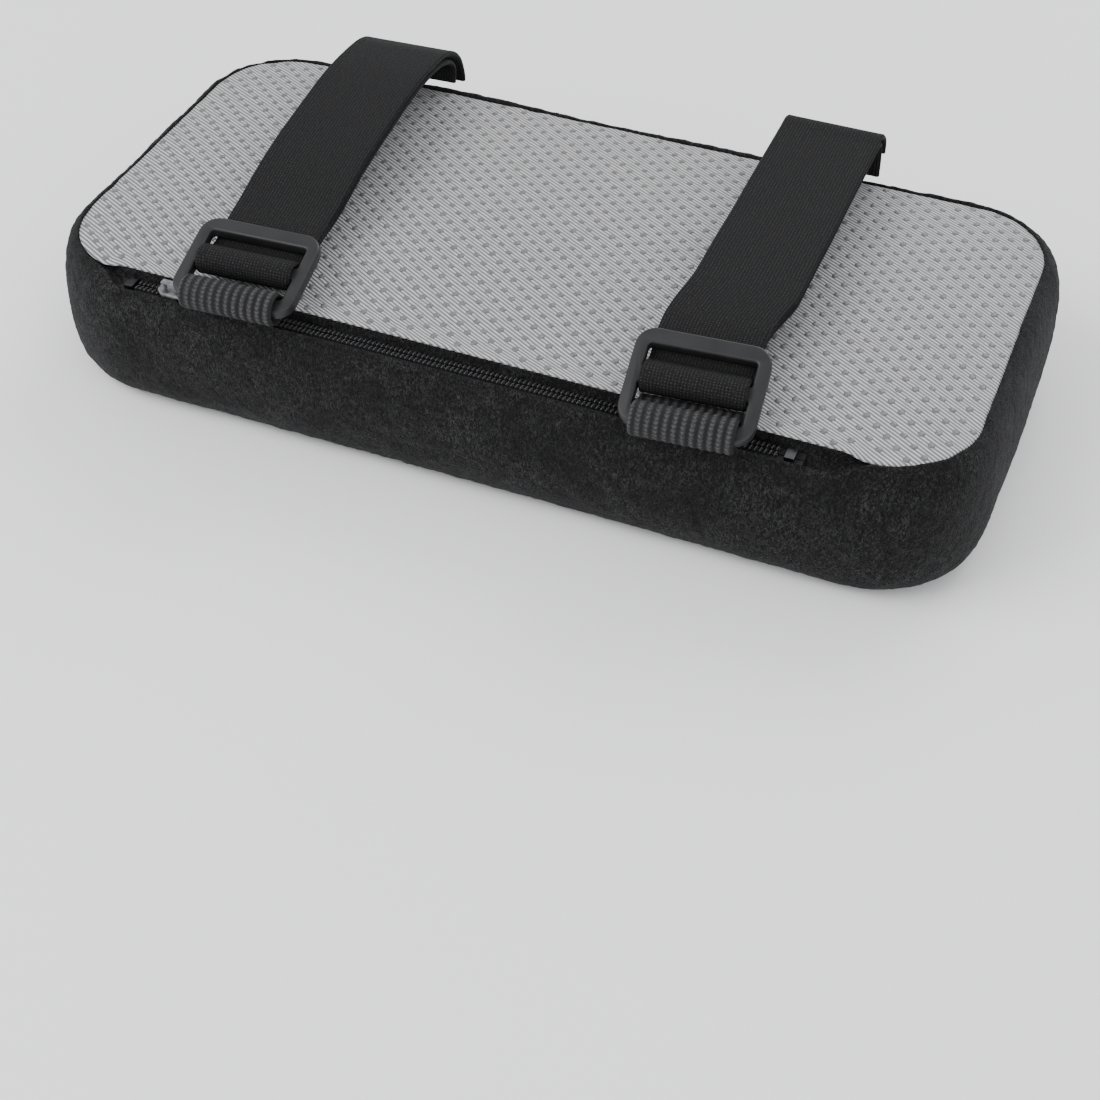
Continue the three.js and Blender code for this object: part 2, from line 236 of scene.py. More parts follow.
def subdivide_smoothly(obj, levels=RENDER_LEVELS):
    modifier = obj.modifiers.new("smooth", "SUBSURF")
    modifier.levels = levels
    modifier.render_levels = levels
    apply_modifier(obj, modifier)


def rounded_block(middle, size, radius, segments):
    """A block with its four upright edges rounded."""
    deselect_all()
    bpy.ops.mesh.primitive_cube_add(size=1, location=middle, scale=size)
    block = bpy.context.object
    bpy.ops.object.transform_apply(location=True, rotation=True, scale=True)
    bpy.ops.object.mode_set(mode="EDIT")
    bpy.ops.mesh.select_all(action="DESELECT")
    bpy.ops.mesh.select_mode(type="EDGE")
    bpy.ops.object.mode_set(mode="OBJECT")
    for edge in block.data.edges:
        a, b = (block.data.vertices[i].co for i in edge.vertices)
        edge.select = abs(a.z - b.z) > size.z / 2
    bpy.ops.object.mode_set(mode="EDIT")
    bpy.ops.mesh.bevel(offset=radius, segments=segments)
    bpy.ops.object.mode_set(mode="OBJECT")
    return block


def round_edges(obj, width, segments, degrees):
    """Rounds every edge that turns by more than `degrees`."""
    rounding = obj.modifiers.new("rounding", "BEVEL")
    rounding.width = width
    rounding.segments = segments
    rounding.limit_method = "ANGLE"
    rounding.angle_limit = math.radians(degrees)
    apply_modifier(obj, rounding)


def cut_away(obj, cutter):
    """Cuts the cutter's shape out of a piece and throws the cutter away."""
    cut = obj.modifiers.new("cut", "BOOLEAN")
    cut.operation = "DIFFERENCE"
    cut.solver = "EXACT"
    cut.object = cutter
    apply_modifier(obj, cut)
    bpy.data.objects.remove(cutter)


def shade_smooth(obj, degrees=None):
    make_active(obj)
    if degrees is None:
        bpy.ops.object.shade_smooth()
    else:
        bpy.ops.object.shade_smooth_by_angle(angle=math.radians(degrees))


def apply_place(obj):
    make_active(obj)
    bpy.ops.object.transform_apply(location=True, rotation=True, scale=True)


def dress(obj, material):
    obj.data.materials.clear()
    obj.data.materials.append(material)


def coordinates(obj):
    flat = np.zeros(len(obj.data.vertices) * 3)
    obj.data.vertices.foreach_get("co", flat)
    return flat.reshape(-1, 3)


def set_coordinates(obj, points):
    obj.data.vertices.foreach_set("co", points.astype(np.float32).ravel())
    obj.data.update()


def smoothstep(value, low, high):
    t = np.clip((value - low) / (high - low), 0, 1)
    return t * t * (3 - 2 * t)


def over_zip(x):
    """1 along the zip's channel, falling to 0 just past each end of it."""
    x = np.asarray(x)
    return smoothstep(x, TAPE_LOW.x - 5 * MM, TAPE_LOW.x - 1 * MM) * (
        1 - smoothstep(x, TAPE_HIGH.x + 9 * MM, TAPE_HIGH.x + 14 * MM))


def along_curve(controls, spacing):
    """Points every `spacing` along a smooth curve through the controls."""
    controls = np.array(controls, float)
    first = 2 * controls[0] - controls[1]
    last = 2 * controls[-1] - controls[-2]
    padded = np.vstack([first, controls, last])
    fine = []
    for i in range(1, len(padded) - 2):
        p0, p1, p2, p3 = padded[i - 1:i + 3]
        for t in np.linspace(0, 1, 24, endpoint=False):
            fine.append(0.5 * (
                2 * p1 + (p2 - p0) * t
                + (2 * p0 - 5 * p1 + 4 * p2 - p3) * t * t
                + (3 * p1 - p0 - 3 * p2 + p3) * t ** 3))
    fine.append(controls[-1])
    fine = np.array(fine)
    steps = np.linalg.norm(np.diff(fine, axis=0), axis=1)
    length = np.concatenate([[0], np.cumsum(steps)])
    wanted = np.linspace(0, length[-1], int(length[-1] / spacing) + 1)
    return np.stack([np.interp(wanted, length, fine[:, k]) for k in range(fine.shape[1])], 1)


def directions(path):
    """The direction of travel at each point of a path, one long."""
    steps = np.gradient(path, axis=0)
    return steps / np.linalg.norm(steps, axis=1)[:, None]


def shifted(path, amount):
    """A path moved sideways by `amount`, to its left."""
    ahead = directions(path)
    return path + amount * np.stack([-ahead[:, 1], ahead[:, 0]], 1)


# ---- materials ----

def new_material(name):
    material = bpy.data.materials.new(name)
    material.use_nodes = True
    shader = material.node_tree.nodes["Principled BSDF"]
    return material, material.node_tree, shader


def add(tree, kind, settings=None, **inputs):
    """A node with its settings and its inputs, which are named with _ for a space, or i0, i1."""
    made = tree.nodes.new(kind)
    for key, value in (settings or {}).items():
        setattr(made, key, value)
    for key, value in inputs.items():
        socket = made.inputs[int(key[1:])] if key[0] == "i" and key[1:].isdigit() else (
            made.inputs[key.replace("_", " ")])
        if isinstance(value, bpy.types.NodeSocket):
            tree.links.new(value, socket)
        else:
            socket.default_value = value
    return made


def math_node(tree, operation, first, second=0.0):
    return add(tree, "ShaderNodeMath", {"operation": operation}, i0=first, i1=second).outputs[0]


def times(tree, first, second):
    return math_node(tree, "MULTIPLY", first, second)


def plus(tree, first, second):
    return math_node(tree, "ADD", first, second)


def noise_of(tree, vector, scale, detail=2.0, distortion=0.0):
    made = add(tree, "ShaderNodeTexNoise", None, Vector=vector, Scale=scale, Detail=detail,
               Distortion=distortion)
    return made.outputs["Fac"]


def ramp(tree, value, low, high, from_low=0.0, from_high=1.0):
    """A value stretched from one range to another, and held inside it."""
    made = add(tree, "ShaderNodeMapRange", {"clamp": True}, Value=value, From_Min=from_low,
               From_Max=from_high, To_Min=low, To_Max=high)
    return made.outputs[0]


def mix_colour(tree, factor, first, second):
    made = tree.nodes.new("ShaderNodeMix")
    made.data_type = "RGBA"
    for socket, value in ((made.inputs[0], factor), (made.inputs[6], first),
                          (made.inputs[7], second)):
        if isinstance(value, bpy.types.NodeSocket):
            tree.links.new(value, socket)
        else:
            socket.default_value = (*value, 1) if hasattr(value, "__len__") else value
    return made.outputs[2]


def paint(tree, shader, colour):
    tree.links.new(colour, shader.inputs["Base Color"])


def bump(tree, shader, height, distance, strength=1.0):
    made = add(tree, "ShaderNodeBump", None, Strength=strength, Distance=distance, Height=height)
    tree.links.new(made.outputs[0], shader.inputs["Normal"])


def place_coordinates(tree):
    return tree.nodes.new("ShaderNodeTexCoord").outputs["Object"]


def weave_coordinates(tree):
    return add(tree, "ShaderNodeUVMap", {"uv_map": "weave"}).outputs[0]


def ribs(tree, coordinate, pitch):
    """0 to 1 and back over each pitch of a coordinate in metres."""
    turned = times(tree, coordinate, 2 * math.pi / pitch)
    wave = math_node(tree, "SINE", turned)
    return ramp(tree, wave, 0, 1, -1, 1)


def velour_material():
    material, tree, shader = new_material("velour")
    place = place_coordinates(tree)
    nap = noise_of(tree, place, 45, 3, 1.0)
    tufts = noise_of(tree, place, 210, 3, 0.8)
    brushed = add(tree, "ShaderNodeMapping", None, Vector=place, Scale=(1900, 1900, 900))
    strokes = noise_of(tree, brushed.outputs[0], 1, 3, 1.4)
    pile = noise_of(tree, place, 2400, 2)
    patches = times(tree, ramp(tree, nap, 0.45, 1, 0.34, 0.68),
                    ramp(tree, tufts, 0.5, 1, 0.34, 0.68))
    fibres = times(tree, ramp(tree, strokes, 0.02, 1, 0.44, 0.68),
                   ramp(tree, pile, 0.6, 1.2, 0.35, 0.65))
    factor = times(tree, patches, fibres)
    colour = mix_colour(tree, factor, colours().velour_dark, colours().velour_light)
    paint(tree, shader, colour)
    shader.inputs["Roughness"].default_value = 0.95
    shader.inputs["Specular IOR Level"].default_value = 0.12
    shader.inputs["Sheen Weight"].default_value = 0.07
    shader.inputs["Sheen Roughness"].default_value = 0.38
    shader.inputs["Sheen Tint"].default_value = (0.9, 0.9, 0.92, 1)
    height = plus(tree, times(tree, pile, 0.3), strokes)
    bump(tree, shader, height, 0.5 * MM, 0.9)
    return material


def grip_fabric_material():
    material, tree, shader = new_material("grip_fabric")
    turned = add(tree, "ShaderNodeMapping", None, Vector=weave_coordinates(tree),
                 Rotation=(0, 0, -sizes().twill_angle)).outputs[0]
    split = add(tree, "ShaderNodeSeparateXYZ", None, Vector=turned)
    wander = noise_of(tree, turned, 260, 2)
    across = plus(tree, split.outputs[1], times(tree, wander, 0.30 * MM))
    rib = ribs(tree, across, sizes().twill_pitch)
    yarn = ribs(tree, split.outputs[0], 0.62 * MM)
    stretched = add(tree, "ShaderNodeMapping", None, Vector=turned, Scale=(300, 1500, 1))
    streaks = noise_of(tree, stretched.outputs[0], 1, 3)
    # Painted highlight on the crests of the ribs and yarns over painted shade between them, dimmed
    # in places by the stretched streaks.
    lit = times(tree, ramp(tree, rib, 0, 1, 0.18, 0.85), ramp(tree, yarn, 0.82, 1, 0, 1))
    factor = times(tree, lit, ramp(tree, streaks, 0.62, 1.1, 0.3, 0.7))
    colour = mix_colour(tree, factor, colours().grip_ground_shaded, colours().grip_rib_lit)
    paint(tree, shader, colour)
    shader.inputs["Roughness"].default_value = 0.52
    shader.inputs["Specular IOR Level"].default_value = 0.35
    shader.inputs["Sheen Weight"].default_value = 0.04
    height = plus(tree, rib, times(tree, yarn, 0.25))
    bump(tree, shader, height, 0.20 * MM, 0.8)
    return material


def grip_dot_material():
    material, tree, shader = new_material("grip_dots")
    speckle = noise_of(tree, place_coordinates(tree), 900, 2)
    lighter = [1.5 * c for c in colours().grip_dot]
    colour = mix_colour(tree, ramp(tree, speckle, 0, 1, 0.35, 0.7), colours().grip_dot, lighter)
    paint(tree, shader, colour)
    shader.inputs["Roughness"].default_value = 0.42
    return material


def elastic_material():
    material, tree, shader = new_material("elastic")
    weave = weave_coordinates(tree)
    split = add(tree, "ShaderNodeSeparateXYZ", None, Vector=weave)
    wander = noise_of(tree, weave, 900, 2)
    cross = plus(tree, split.outputs[0], times(tree, wander, 0.5 * MM))
    ends = ribs(tree, cross, 0.82 * MM)
    picks = ribs(tree, plus(tree, split.outputs[1], times(tree, ends, 0.28 * MM)), 0.62 * MM)
    fleck = noise_of(tree, weave, 2300, 2)
    cell = times(tree, ends, picks)
    factor = times(tree, ramp(tree, cell, 0.15, 1, 0.1, 0.8),
                   ramp(tree, fleck, 0.2, 1.3, 0.36, 0.68))
    dark = [0.45 * c for c in colours().elastic]
    light = [4.2 * c for c in colours().elastic]
    paint(tree, shader, mix_colour(tree, factor, dark, light))
    shader.inputs["Roughness"].default_value = 0.8
    shader.inputs["Specular IOR Level"].default_value = 0.12
    bump(tree, shader, plus(tree, cell, times(tree, fleck, 0.5)), 0.16 * MM, 0.8)
    return material


def ribbed_webbing_material():
    material, tree, shader = new_material("ribbed_webbing")
    weave = weave_coordinates(tree)
    split = add(tree, "ShaderNodeSeparateXYZ", None, Vector=weave)
    rib_pitch = sizes().buckled_width / sizes().loop_ribs
    lean = ribs(tree, split.outputs[0], rib_pitch)
    row = plus(tree, split.outputs[1], times(tree, lean, 0.35 * MM))
    stitch = ribs(tree, row, 0.95 * MM)
    fleck = noise_of(tree, weave, 1900, 2)
    knit = times(tree, lean, ramp(tree, stitch, 0.45, 1))
    factor = times(tree, ramp(tree, knit, 0.05, 1, 0.1, 0.85),
                   ramp(tree, fleck, 0.5, 1.2, 0.35, 0.68))
    dark = [0.30 * c for c in colours().webbing]
    light = [2.1 * c for c in colours().webbing]
    paint(tree, shader, mix_colour(tree, factor, dark, light))
    shader.inputs["Roughness"].default_value = 0.7
    shader.inputs["Specular IOR Level"].default_value = 0.15
    bump(tree, shader, knit, 0.25 * MM, 0.9)
    return material


def plastic_material():
    material, tree, shader = new_material("buckle_plastic")
    place = place_coordinates(tree)
    grain = noise_of(tree, place, 2600, 2)
    cloud = noise_of(tree, place, 140, 3)
    paler = [1.5 * c for c in colours().plastic]
    paint(tree, shader, mix_colour(tree, cloud, colours().plastic, paler))
    tree.links.new(ramp(tree, cloud, 0.34, 0.5, 0.3, 0.7), shader.inputs["Roughness"])
    shader.inputs["Specular IOR Level"].default_value = 0.32
    bump(tree, shader, grain, 0.03 * MM, 0.5)
    return material


def zip_tape_material():
    material, tree, shader = new_material("zip_tape")
    place = place_coordinates(tree)
    split = add(tree, "ShaderNodeSeparateXYZ", None, Vector=place)
    warp = ribs(tree, split.outputs[1], 0.5 * MM)
    weft = ribs(tree, split.outputs[0], 0.5 * MM)
    cell = times(tree, warp, weft)
    paint(tree, shader, mix_colour(tree, cell, (0.005, 0.005, 0.005), (0.022, 0.022, 0.023)))
    shader.inputs["Roughness"].default_value = 0.9
    bump(tree, shader, cell, 0.12 * MM, 0.7)
    return material


def zip_nylon_material():
    material, tree, shader = new_material("zip_nylon")
    cloud = noise_of(tree, place_coordinates(tree), 700, 2)
    paint(tree, shader, mix_colour(tree, cloud, (0.010, 0.010, 0.011), (0.028, 0.028, 0.030)))
    tree.links.new(ramp(tree, cloud, 0.25, 0.45), shader.inputs["Roughness"])
    return material


def zip_metal_material(name, colour):
    material, tree, shader = new_material(name)
    place = place_coordinates(tree)
    scuffs = noise_of(tree, place, 900, 4)
    worn = [0.55 * c for c in colour]
    paint(tree, shader, mix_colour(tree, ramp(tree, scuffs, 0, 1, 0.35, 0.65), worn, colour))
    tree.links.new(ramp(tree, scuffs, 0.26, 0.48, 0.3, 0.7), shader.inputs["Roughness"])
    shader.inputs["Metallic"].default_value = 0.9
    bump(tree, shader, scuffs, 0.03 * MM, 0.4)
    return material


def foam_material():
    material, tree, shader = new_material("foam")
    cells = add(tree, "ShaderNodeTexVoronoi", None, Vector=place_coordinates(tree), Scale=900.0)
    # Painted shade: the pores' hollows are painted darker than the cell walls between them, and
    # the same value sinks the pores as bumps.
    pore_depth_and_shade = ramp(tree, cells.outputs["Distance"], 0, 1, 0.1, 0.6)
    paint(tree, shader, mix_colour(tree, pore_depth_and_shade, (0.45, 0.41, 0.32), (0.86, 0.82, 0.70)))
    shader.inputs["Roughness"].default_value = 0.95
    bump(tree, shader, pore_depth_and_shade, 0.25 * MM, 0.8)
    return material


# ---- foam, cover and grip panel ----

def ring(half_x, half_y, radius, columns):
    """A level rounded rectangle. `columns` counts a long side, a corner and a short side."""
    long_side, corner, short_side = columns
    x, y = half_x - radius, half_y - radius
    points = []
    corners = [(x, y, 0), (-x, y, 1), (-x, -y, 2), (x, -y, 3)]
    for i, (cx, cy, quarter) in enumerate(corners):
        for step in range(corner):
            angle = (quarter + step / corner) * math.pi / 2
            points.append((cx + radius * math.cos(angle), cy + radius * math.sin(angle)))
        nx, ny = corners[(i + 1) % 4][:2]
        turn = (quarter + 1) * math.pi / 2
        start = (cx + radius * math.cos(turn), cy + radius * math.sin(turn))
        end = (nx + radius * math.cos(turn), ny + radius * math.sin(turn))
        count = long_side if i % 2 == 0 else short_side
        for step in range(count):
            t = step / count
            points.append((start[0] + (end[0] - start[0]) * t, start[1] + (end[1] - start[1]) * t))
    return np.array(points)


def ring_lengths(points):
    steps = np.linalg.norm(np.roll(points, -1, 0) - points, axis=1)
    return np.concatenate([[0], np.cumsum(steps)])[:-1]


def seam_gathers(distance, seed):
    """Uneven puckers along a seam, seldom beyond -1 or 1, for distances in metres round it."""
    return np.array([
        noise.noise(Vector((d / (4.2 * MM), seed, 0))) * 1.2
        + noise.noise(Vector((d / (11 * MM), seed + 7, 0))) * 0.7
        for d in distance])


def ring_faces(rows, count):
    faces = []
    for row in range(rows - 1):
        for i in range(count):
            j = (i + 1) % count
            faces.append((row * count + i, row * count + j,
                          (row + 1) * count + j, (row + 1) * count + i))
    return faces


def ladder_faces(start, columns):
    """Fills a ring with a ladder of quads, each rung running straight across the pad."""
    long_side, corner, short_side = columns
    count = 2 * (long_side + short_side) + 4 * corner
    end = count - short_side // 2
    rungs = [(start + (end + k) % count, start + (end - k) % count)
             for k in range(count // 2 + 1)]
    faces = [(rungs[0][0], rungs[1][0], rungs[1][1])]
    for first, second in zip(rungs[1:-2], rungs[2:-1]):
        faces.append((first[0], second[0], second[1], first[1]))
    faces.append((rungs[-2][0], rungs[-1][0], rungs[-2][1]))
    return faces


def puff(obj, pins, pressure, cap, frames=16):
    """Blows a pinned skin up as cloth, keeps every point within `cap` and applies the result."""
    before = coordinates(obj)
    group = obj.vertex_groups.new(name="held")
    for index, weight in enumerate(pins):
        if weight > 0:
            group.add([index], float(weight), "REPLACE")
    cloth = obj.modifiers.new("cloth", "CLOTH")
    cloth.settings.quality = 6
    cloth.settings.mass = 0.25
    cloth.settings.tension_stiffness = 12
    cloth.settings.compression_stiffness = 12
    cloth.settings.bending_stiffness = 0.6
    cloth.settings.vertex_group_mass = "held"
    cloth.settings.use_pressure = True
    cloth.settings.uniform_pressure_force = pressure
    cloth.settings.effector_weights.gravity = 0
    cloth.point_cache.frame_start = 1
    cloth.point_cache.frame_end = frames
    scene = bpy.context.scene
    for number in range(1, frames + 1):
        scene.frame_set(number)
    evaluated = obj.evaluated_get(bpy.context.evaluated_depsgraph_get())
    flat = np.zeros(len(evaluated.data.vertices) * 3)
    evaluated.data.vertices.foreach_get("co", flat)
    moved = flat.reshape(-1, 3) - before
    obj.modifiers.remove(cloth)
    obj.vertex_groups.remove(group)
    far = np.maximum(np.linalg.norm(moved, axis=1), 1e-9)
    moved *= np.minimum(1, cap / far)[:, None]
    set_coordinates(obj, before + moved)
    scene.frame_set(1)


class ARMREST_OT_foam(bpy.types.Operator):
    """Model the foam core inside the cover"""
    bl_idname = "armrest.foam"
    bl_label = "Foam core"

    def execute(self, context):
        low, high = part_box("foam_core")
        foam = rounded_block((low + high) / 2, high - low, sizes().corner_radius * 0.95, 8)
        foam.name = "foam_core_block"
        round_edges(foam, 8 * MM, 4, 60)
        bed_low = TAPE_LOW - Vector((20, 4, 2.2)) * MM
        bed_high = PANEL_TAPE_HIGH + Vector((20, 3.5, 20)) * MM
        bed = rounded_block((bed_low + bed_high) / 2, bed_high - bed_low, 0.5 * MM, 2)
        cut_away(foam, bed)
        shade_smooth(foam, 40)
        dress(foam, foam_material())
        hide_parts("foam_core")
        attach(foam, "pad")
        return {"FINISHED"}


class ARMREST_OT_cover(bpy.types.Operator):
    """Model the velour cover as a puffed skin with its rim turned in to the seam"""
    bl_idname = "armrest.cover"
    bl_label = "Velour cover"

    def execute(self, context):
        columns = (52, 12, 18)
        flat_rows, rim_rows = 8, 7
        half = (COVER_HIGH - COVER_LOW) / 2
        radius = sizes().corner_radius
        panel_half = (PANEL_HIGH - PANEL_LOW) / 2
        levels = []
        for share in np.linspace(1, 0, flat_rows + 1)[:-1]:
            inset = 8.5 * MM + share * (half.y - 10.5 * MM)
            levels.append((inset, 0.0, max(radius - inset, 2 * MM)))
        for inset, z in along_curve(COVER_SIDE, 3.2):
            roll = 0.8 * float(smoothstep(np.array(z), 35, 39))
            levels.append((inset * MM, (z + roll) * MM, radius - inset * MM))
        rings = [(ring(half.x - i, half.y - i, r, columns), z) for i, z, r in levels]
        seam_radius = sizes().panel_corner_radius
        for inward, z in ((-0.1, 39.3), (0.5, 38.6), (0.8, 37.9), (2.2, 37.9), (2.25, 38.1)):
            rings.append((ring(panel_half.x - inward * MM, panel_half.y - inward * MM,
                               seam_radius, columns), z * MM))
        count = len(rings[0][0])
        distance = ring_lengths(rings[12][0])
        gathers = seam_gathers(distance, 3.0)
        points, uvs, pins = [], [], []
        up = 0.0
        for row, (outline, z) in enumerate(rings):
            if row:
                up += max(0.5 * MM, abs(z - rings[row - 1][1]), abs(
                    outline[0][0] - rings[row - 1][0][0][0]))
            near_rim = smoothstep(np.array(z), 32 * MM, 39 * MM)
            for i, (x, y) in enumerate(outline):
                drop = 0.45 * MM * gathers[i] * float(near_rim)
                points.append((x, y, z + drop if z > 30 * MM else z))
                uvs.append((distance[i], up))
                held = row < flat_rows or row >= len(rings) - rim_rows
                pins.append(1.0 if held else 0.0)
        faces = ring_faces(len(rings), count) + ladder_faces(0, columns)
        cover = mesh_piece("velour_skin", points, faces, uvs)
        self.open_the_groove(cover, count)
        point_outwards(cover)
        puff(cover, pins, 2.2, 0.8 * MM)
        subdivide_smoothly(cover)
        self.raise_pile(cover)
        shade_smooth(cover)
        dress(cover, velour_material())
        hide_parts("velour_cover")
        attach(cover, "pad")
        return {"FINISHED"}

    def open_the_groove(self, cover, count):
        """Parts the near rim along the zip and lines the channel below it."""
        points = coordinates(cover)
        row = np.arange(len(points)) // count
        from_last = row.max() - row
        outer = TAPE_LOW.y - 0.8 * MM + np.where(from_last <= 4, 0.3 * MM, 0)
        inner = PANEL_TAPE_HIGH.y + 0.45 * MM
        along = over_zip(points[:, 0])
        near = points[:, 1] < -40 * MM
        rim = near & (points[:, 2] > 34 * MM) & (points[:, 1] > outer) & (from_last >= 2)
        bed = near & ((from_last == 1) | (from_last == 2))
        top = near & (from_last == 0)
        inside = near & (from_last < 2)
        points[:, 1] += np.where(rim, (outer - points[:, 1]) * along, 0)
        points[:, 1] += np.where(inside, (inner - points[:, 1]) * along, 0)
        lip = 34 * MM + (points[:, 2] - 34 * MM) * 0.55
        points[:, 2] += np.where(rim & ~bed, (lip - points[:, 2]) * along, 0)
        points[:, 2] += np.where(bed, (TAPE_LOW.z - 0.5 * MM - points[:, 2]) * along, 0)
        points[:, 2] += np.where(top, (38.85 * MM - points[:, 2]) * along, 0)
        set_coordinates(cover, points)

    def raise_pile(self, cover):
        """Stands small tufts of pile up, so that the outline is never a clean line."""
        mesh = cover.data
        points = coordinates(cover)
        normals = np.zeros(len(mesh.vertices) * 3)
        mesh.vertices.foreach_get("normal", normals)
        normals = normals.reshape(-1, 3)
        depth = sizes().pile_depth
        lift = np.array([
            noise.noise(Vector(p) / (1.7 * MM)) + 0.8 * noise.noise(Vector(p) / (5 * MM))
            for p in points])
        soft = np.array([noise.noise(Vector(p) / (24 * MM) + Vector((5, 2, 9))) for p in points])
        side = smoothstep(points[:, 2], 1.5 * MM, 6 * MM)
        by_zip = smoothstep(points[:, 2], 33 * MM, 36 * MM) * (points[:, 1] < -52 * MM)
        calm = 1 - 0.9 * by_zip * over_zip(points[:, 0])
        points += normals * ((lift * depth + soft * 0.7 * MM * side) * calm)[:, None]
        points[:, 2] = np.maximum(points[:, 2], 0)
        set_coordinates(cover, points)


class ARMREST_OT_grip_panel(bpy.types.Operator):
    """Model the grip panel as a crowned sheet gathered into its seam, with its dots"""
    bl_idname = "armrest.grip_panel"
    bl_label = "Grip panel"

    def execute(self, context):
        columns = (104, 16, 38)
        half = (PANEL_HIGH - PANEL_LOW) / 2
        middle = (PANEL_HIGH + PANEL_LOW) / 2
        radius = sizes().panel_corner_radius
        crown = PANEL_HIGH.z - 39.9 * MM
        insets = [0.4, 0.0, 0.5, 1.6, 3.2, 5.5, 8.5, 12, 16, 21, 27, 33, 39, 44, 48, 52]
        insets = [i * MM for i in insets]
        base_ring = ring(half.x, half.y, radius, columns)
        distance = ring_lengths(base_ring)
        gathers = seam_gathers(distance, 11.0)
        points, uvs, pins = [], [], []
        for row, inset in enumerate(insets):
            outline = ring(half.x - inset, half.y - inset, max(radius - inset, 2 * MM), columns)
            rise = crown * float(smoothstep(np.array(inset), -14 * MM, 22 * MM) - 0.33) / 0.67
            edge_height = 39.0 * MM if row == 0 else 39.45 * MM if row == 1 else 39.9 * MM
            fade = math.exp(-inset / (4.5 * MM))
            for i, (x, y) in enumerate(outline):
                pucker = sizes().pucker_depth * gathers[i] * fade if row > 1 else 0
                points.append((middle.x + x, self.clear_of_zip(x, middle.y + y, inset),
                               edge_height + rise + pucker))
                uvs.append((x, y))
                pins.append(1.0 if row < 3 else 0.0)
        last = (len(insets) - 1) * len(base_ring)
        faces = ring_faces(len(insets), len(base_ring)) + ladder_faces(last, columns)
        panel = mesh_piece("grip_sheet", points, faces, uvs)
        puff(panel, pins, 0.35, 0.5 * MM)
        subdivide_smoothly(panel, 1)
        cloth = panel.modifiers.new("cloth_thickness", "SOLIDIFY")
        cloth.thickness = 0.9 * MM
        cloth.offset = -1
        apply_modifier(panel, cloth)
        shade_smooth(panel)
        dress(panel, grip_fabric_material())
        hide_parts("grip_panel")
        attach(panel, "pad")
        self.add_dots(panel, half, middle, radius)
        return {"FINISHED"}

    def clear_of_zip(self, x, y, inset):
        """The near edge of the panel, drawn back to the zip's tape over its length."""
        if y > 0:
            return y
        back = PANEL_TAPE_HIGH.y + 0.15 * MM - PANEL_LOW.y
        return y + back * float(over_zip(x)) * max(0.0, 1 - inset / (8 * MM))

    def add_dots(self, panel, half, middle, radius):
        """Low moulded domes in staggered rows, each resting on the sheet where it lies."""
        tree = BVHTree.FromObject(panel, bpy.context.evaluated_depsgraph_get())
        pitch_x, pitch_y = sizes().dot_pitch_long, sizes().dot_pitch_cross
        dot, height = sizes().dot_diameter / 2, sizes().dot_height
        sides = 10
        margin = 1.6 * MM
        points, faces = [], []
        lean = Matrix.Rotation(sizes().dot_turn, 2)
        rows = int((half.y + 14 * MM) / pitch_y) * 2 + 1
        across = int((half.x + 8 * MM) / pitch_x) + 1
        for row in range(-rows, rows + 1):
            offset = 0.5 * pitch_x if row % 2 else 0.0
            for column in range(-across, across + 1):
                spot = lean @ Vector((column * pitch_x + offset, row * pitch_y / 2))
                x, y = middle.x + spot.x, middle.y + spot.y
                if not self.on_panel(x - middle.x, y - middle.y, half, radius, margin):
                    continue
                hit, normal, _, _ = tree.ray_cast(Vector((x, y, 0.08)), Vector((0, 0, -1)))
                if hit is None:
                    continue
                side = normal.cross(Vector((0, 1, 0))).normalized()
                other = normal.cross(side)
                start = len(points)
                for reach, rise in ((1.0, -0.15), (0.86, 0.55), (0.5, 0.95)):
                    for step in range(sides):
                        angle = 2 * math.pi * step / sides
                        points.append(hit + normal * (rise * height)
                                      + side * (dot * reach * math.cos(angle))
                                      + other * (dot * reach * math.sin(angle)))
                points.append(hit + normal * height)
                top = len(points) - 1
                for level in (0, sides):
                    for step in range(sides):
                        a, b = start + level + step, start + level + (step + 1) % sides
                        faces.append((a, b, b + sides, a + sides))
                for step in range(sides):
                    faces.append((start + 2 * sides + step,
                                  start + 2 * sides + (step + 1) % sides, top))
                faces.append(tuple(start + step for step in reversed(range(sides))))
        dots = mesh_piece("grip_dots", points, faces)
        shade_smooth(dots)
        dress(dots, grip_dot_material())
        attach(dots, "pad")

    def on_panel(self, x, y, half, radius, margin):
        edge_x, edge_y = half.x - margin, half.y - margin
        if y < 0 and TAPE_LOW.x - 4 * MM < x < TAPE_HIGH.x + 14 * MM:
            edge_y = -PANEL_TAPE_HIGH.y - margin
        if abs(x) > edge_x or abs(y) > edge_y:
            return False
        cx, cy = abs(x) - (half.x - radius), abs(y) - (half.y - radius)
        return not (cx > 0 and cy > 0 and math.hypot(cx, cy) > radius - margin)


# ---- webbing ----

def band(name, centres, frames_of, profile):
    """A closed band swept along centres. frames_of gives each step its side, its up, its width
    and its share of the full thickness; profile is a ring of (share of half width, height)."""
    points, uvs, faces = [], [], []
    size = len(profile)
    travelled = 0.0
    for step, centre in enumerate(centres):
        side, up, width, thin = frames_of[step]
        if step:
            travelled += (centre - centres[step - 1]).length
        for share, height in profile:
            points.append(centre + side * (share * width / 2) + up * (height * thin))
            uvs.append((share * width / 2, travelled))
    for step in range(len(centres) - 1):
        for i in range(size):
            j = (i + 1) % size
            faces.append((step * size + i, step * size + j,
                          (step + 1) * size + j, (step + 1) * size + i))
    last = (len(centres) - 1) * size
    faces.append(tuple(reversed(range(size))))
    faces.append(tuple(last + i for i in range(size)))
    made = mesh_piece(name, points, faces, uvs)
    point_outwards(made)
    shade_smooth(made, 50)
    return made


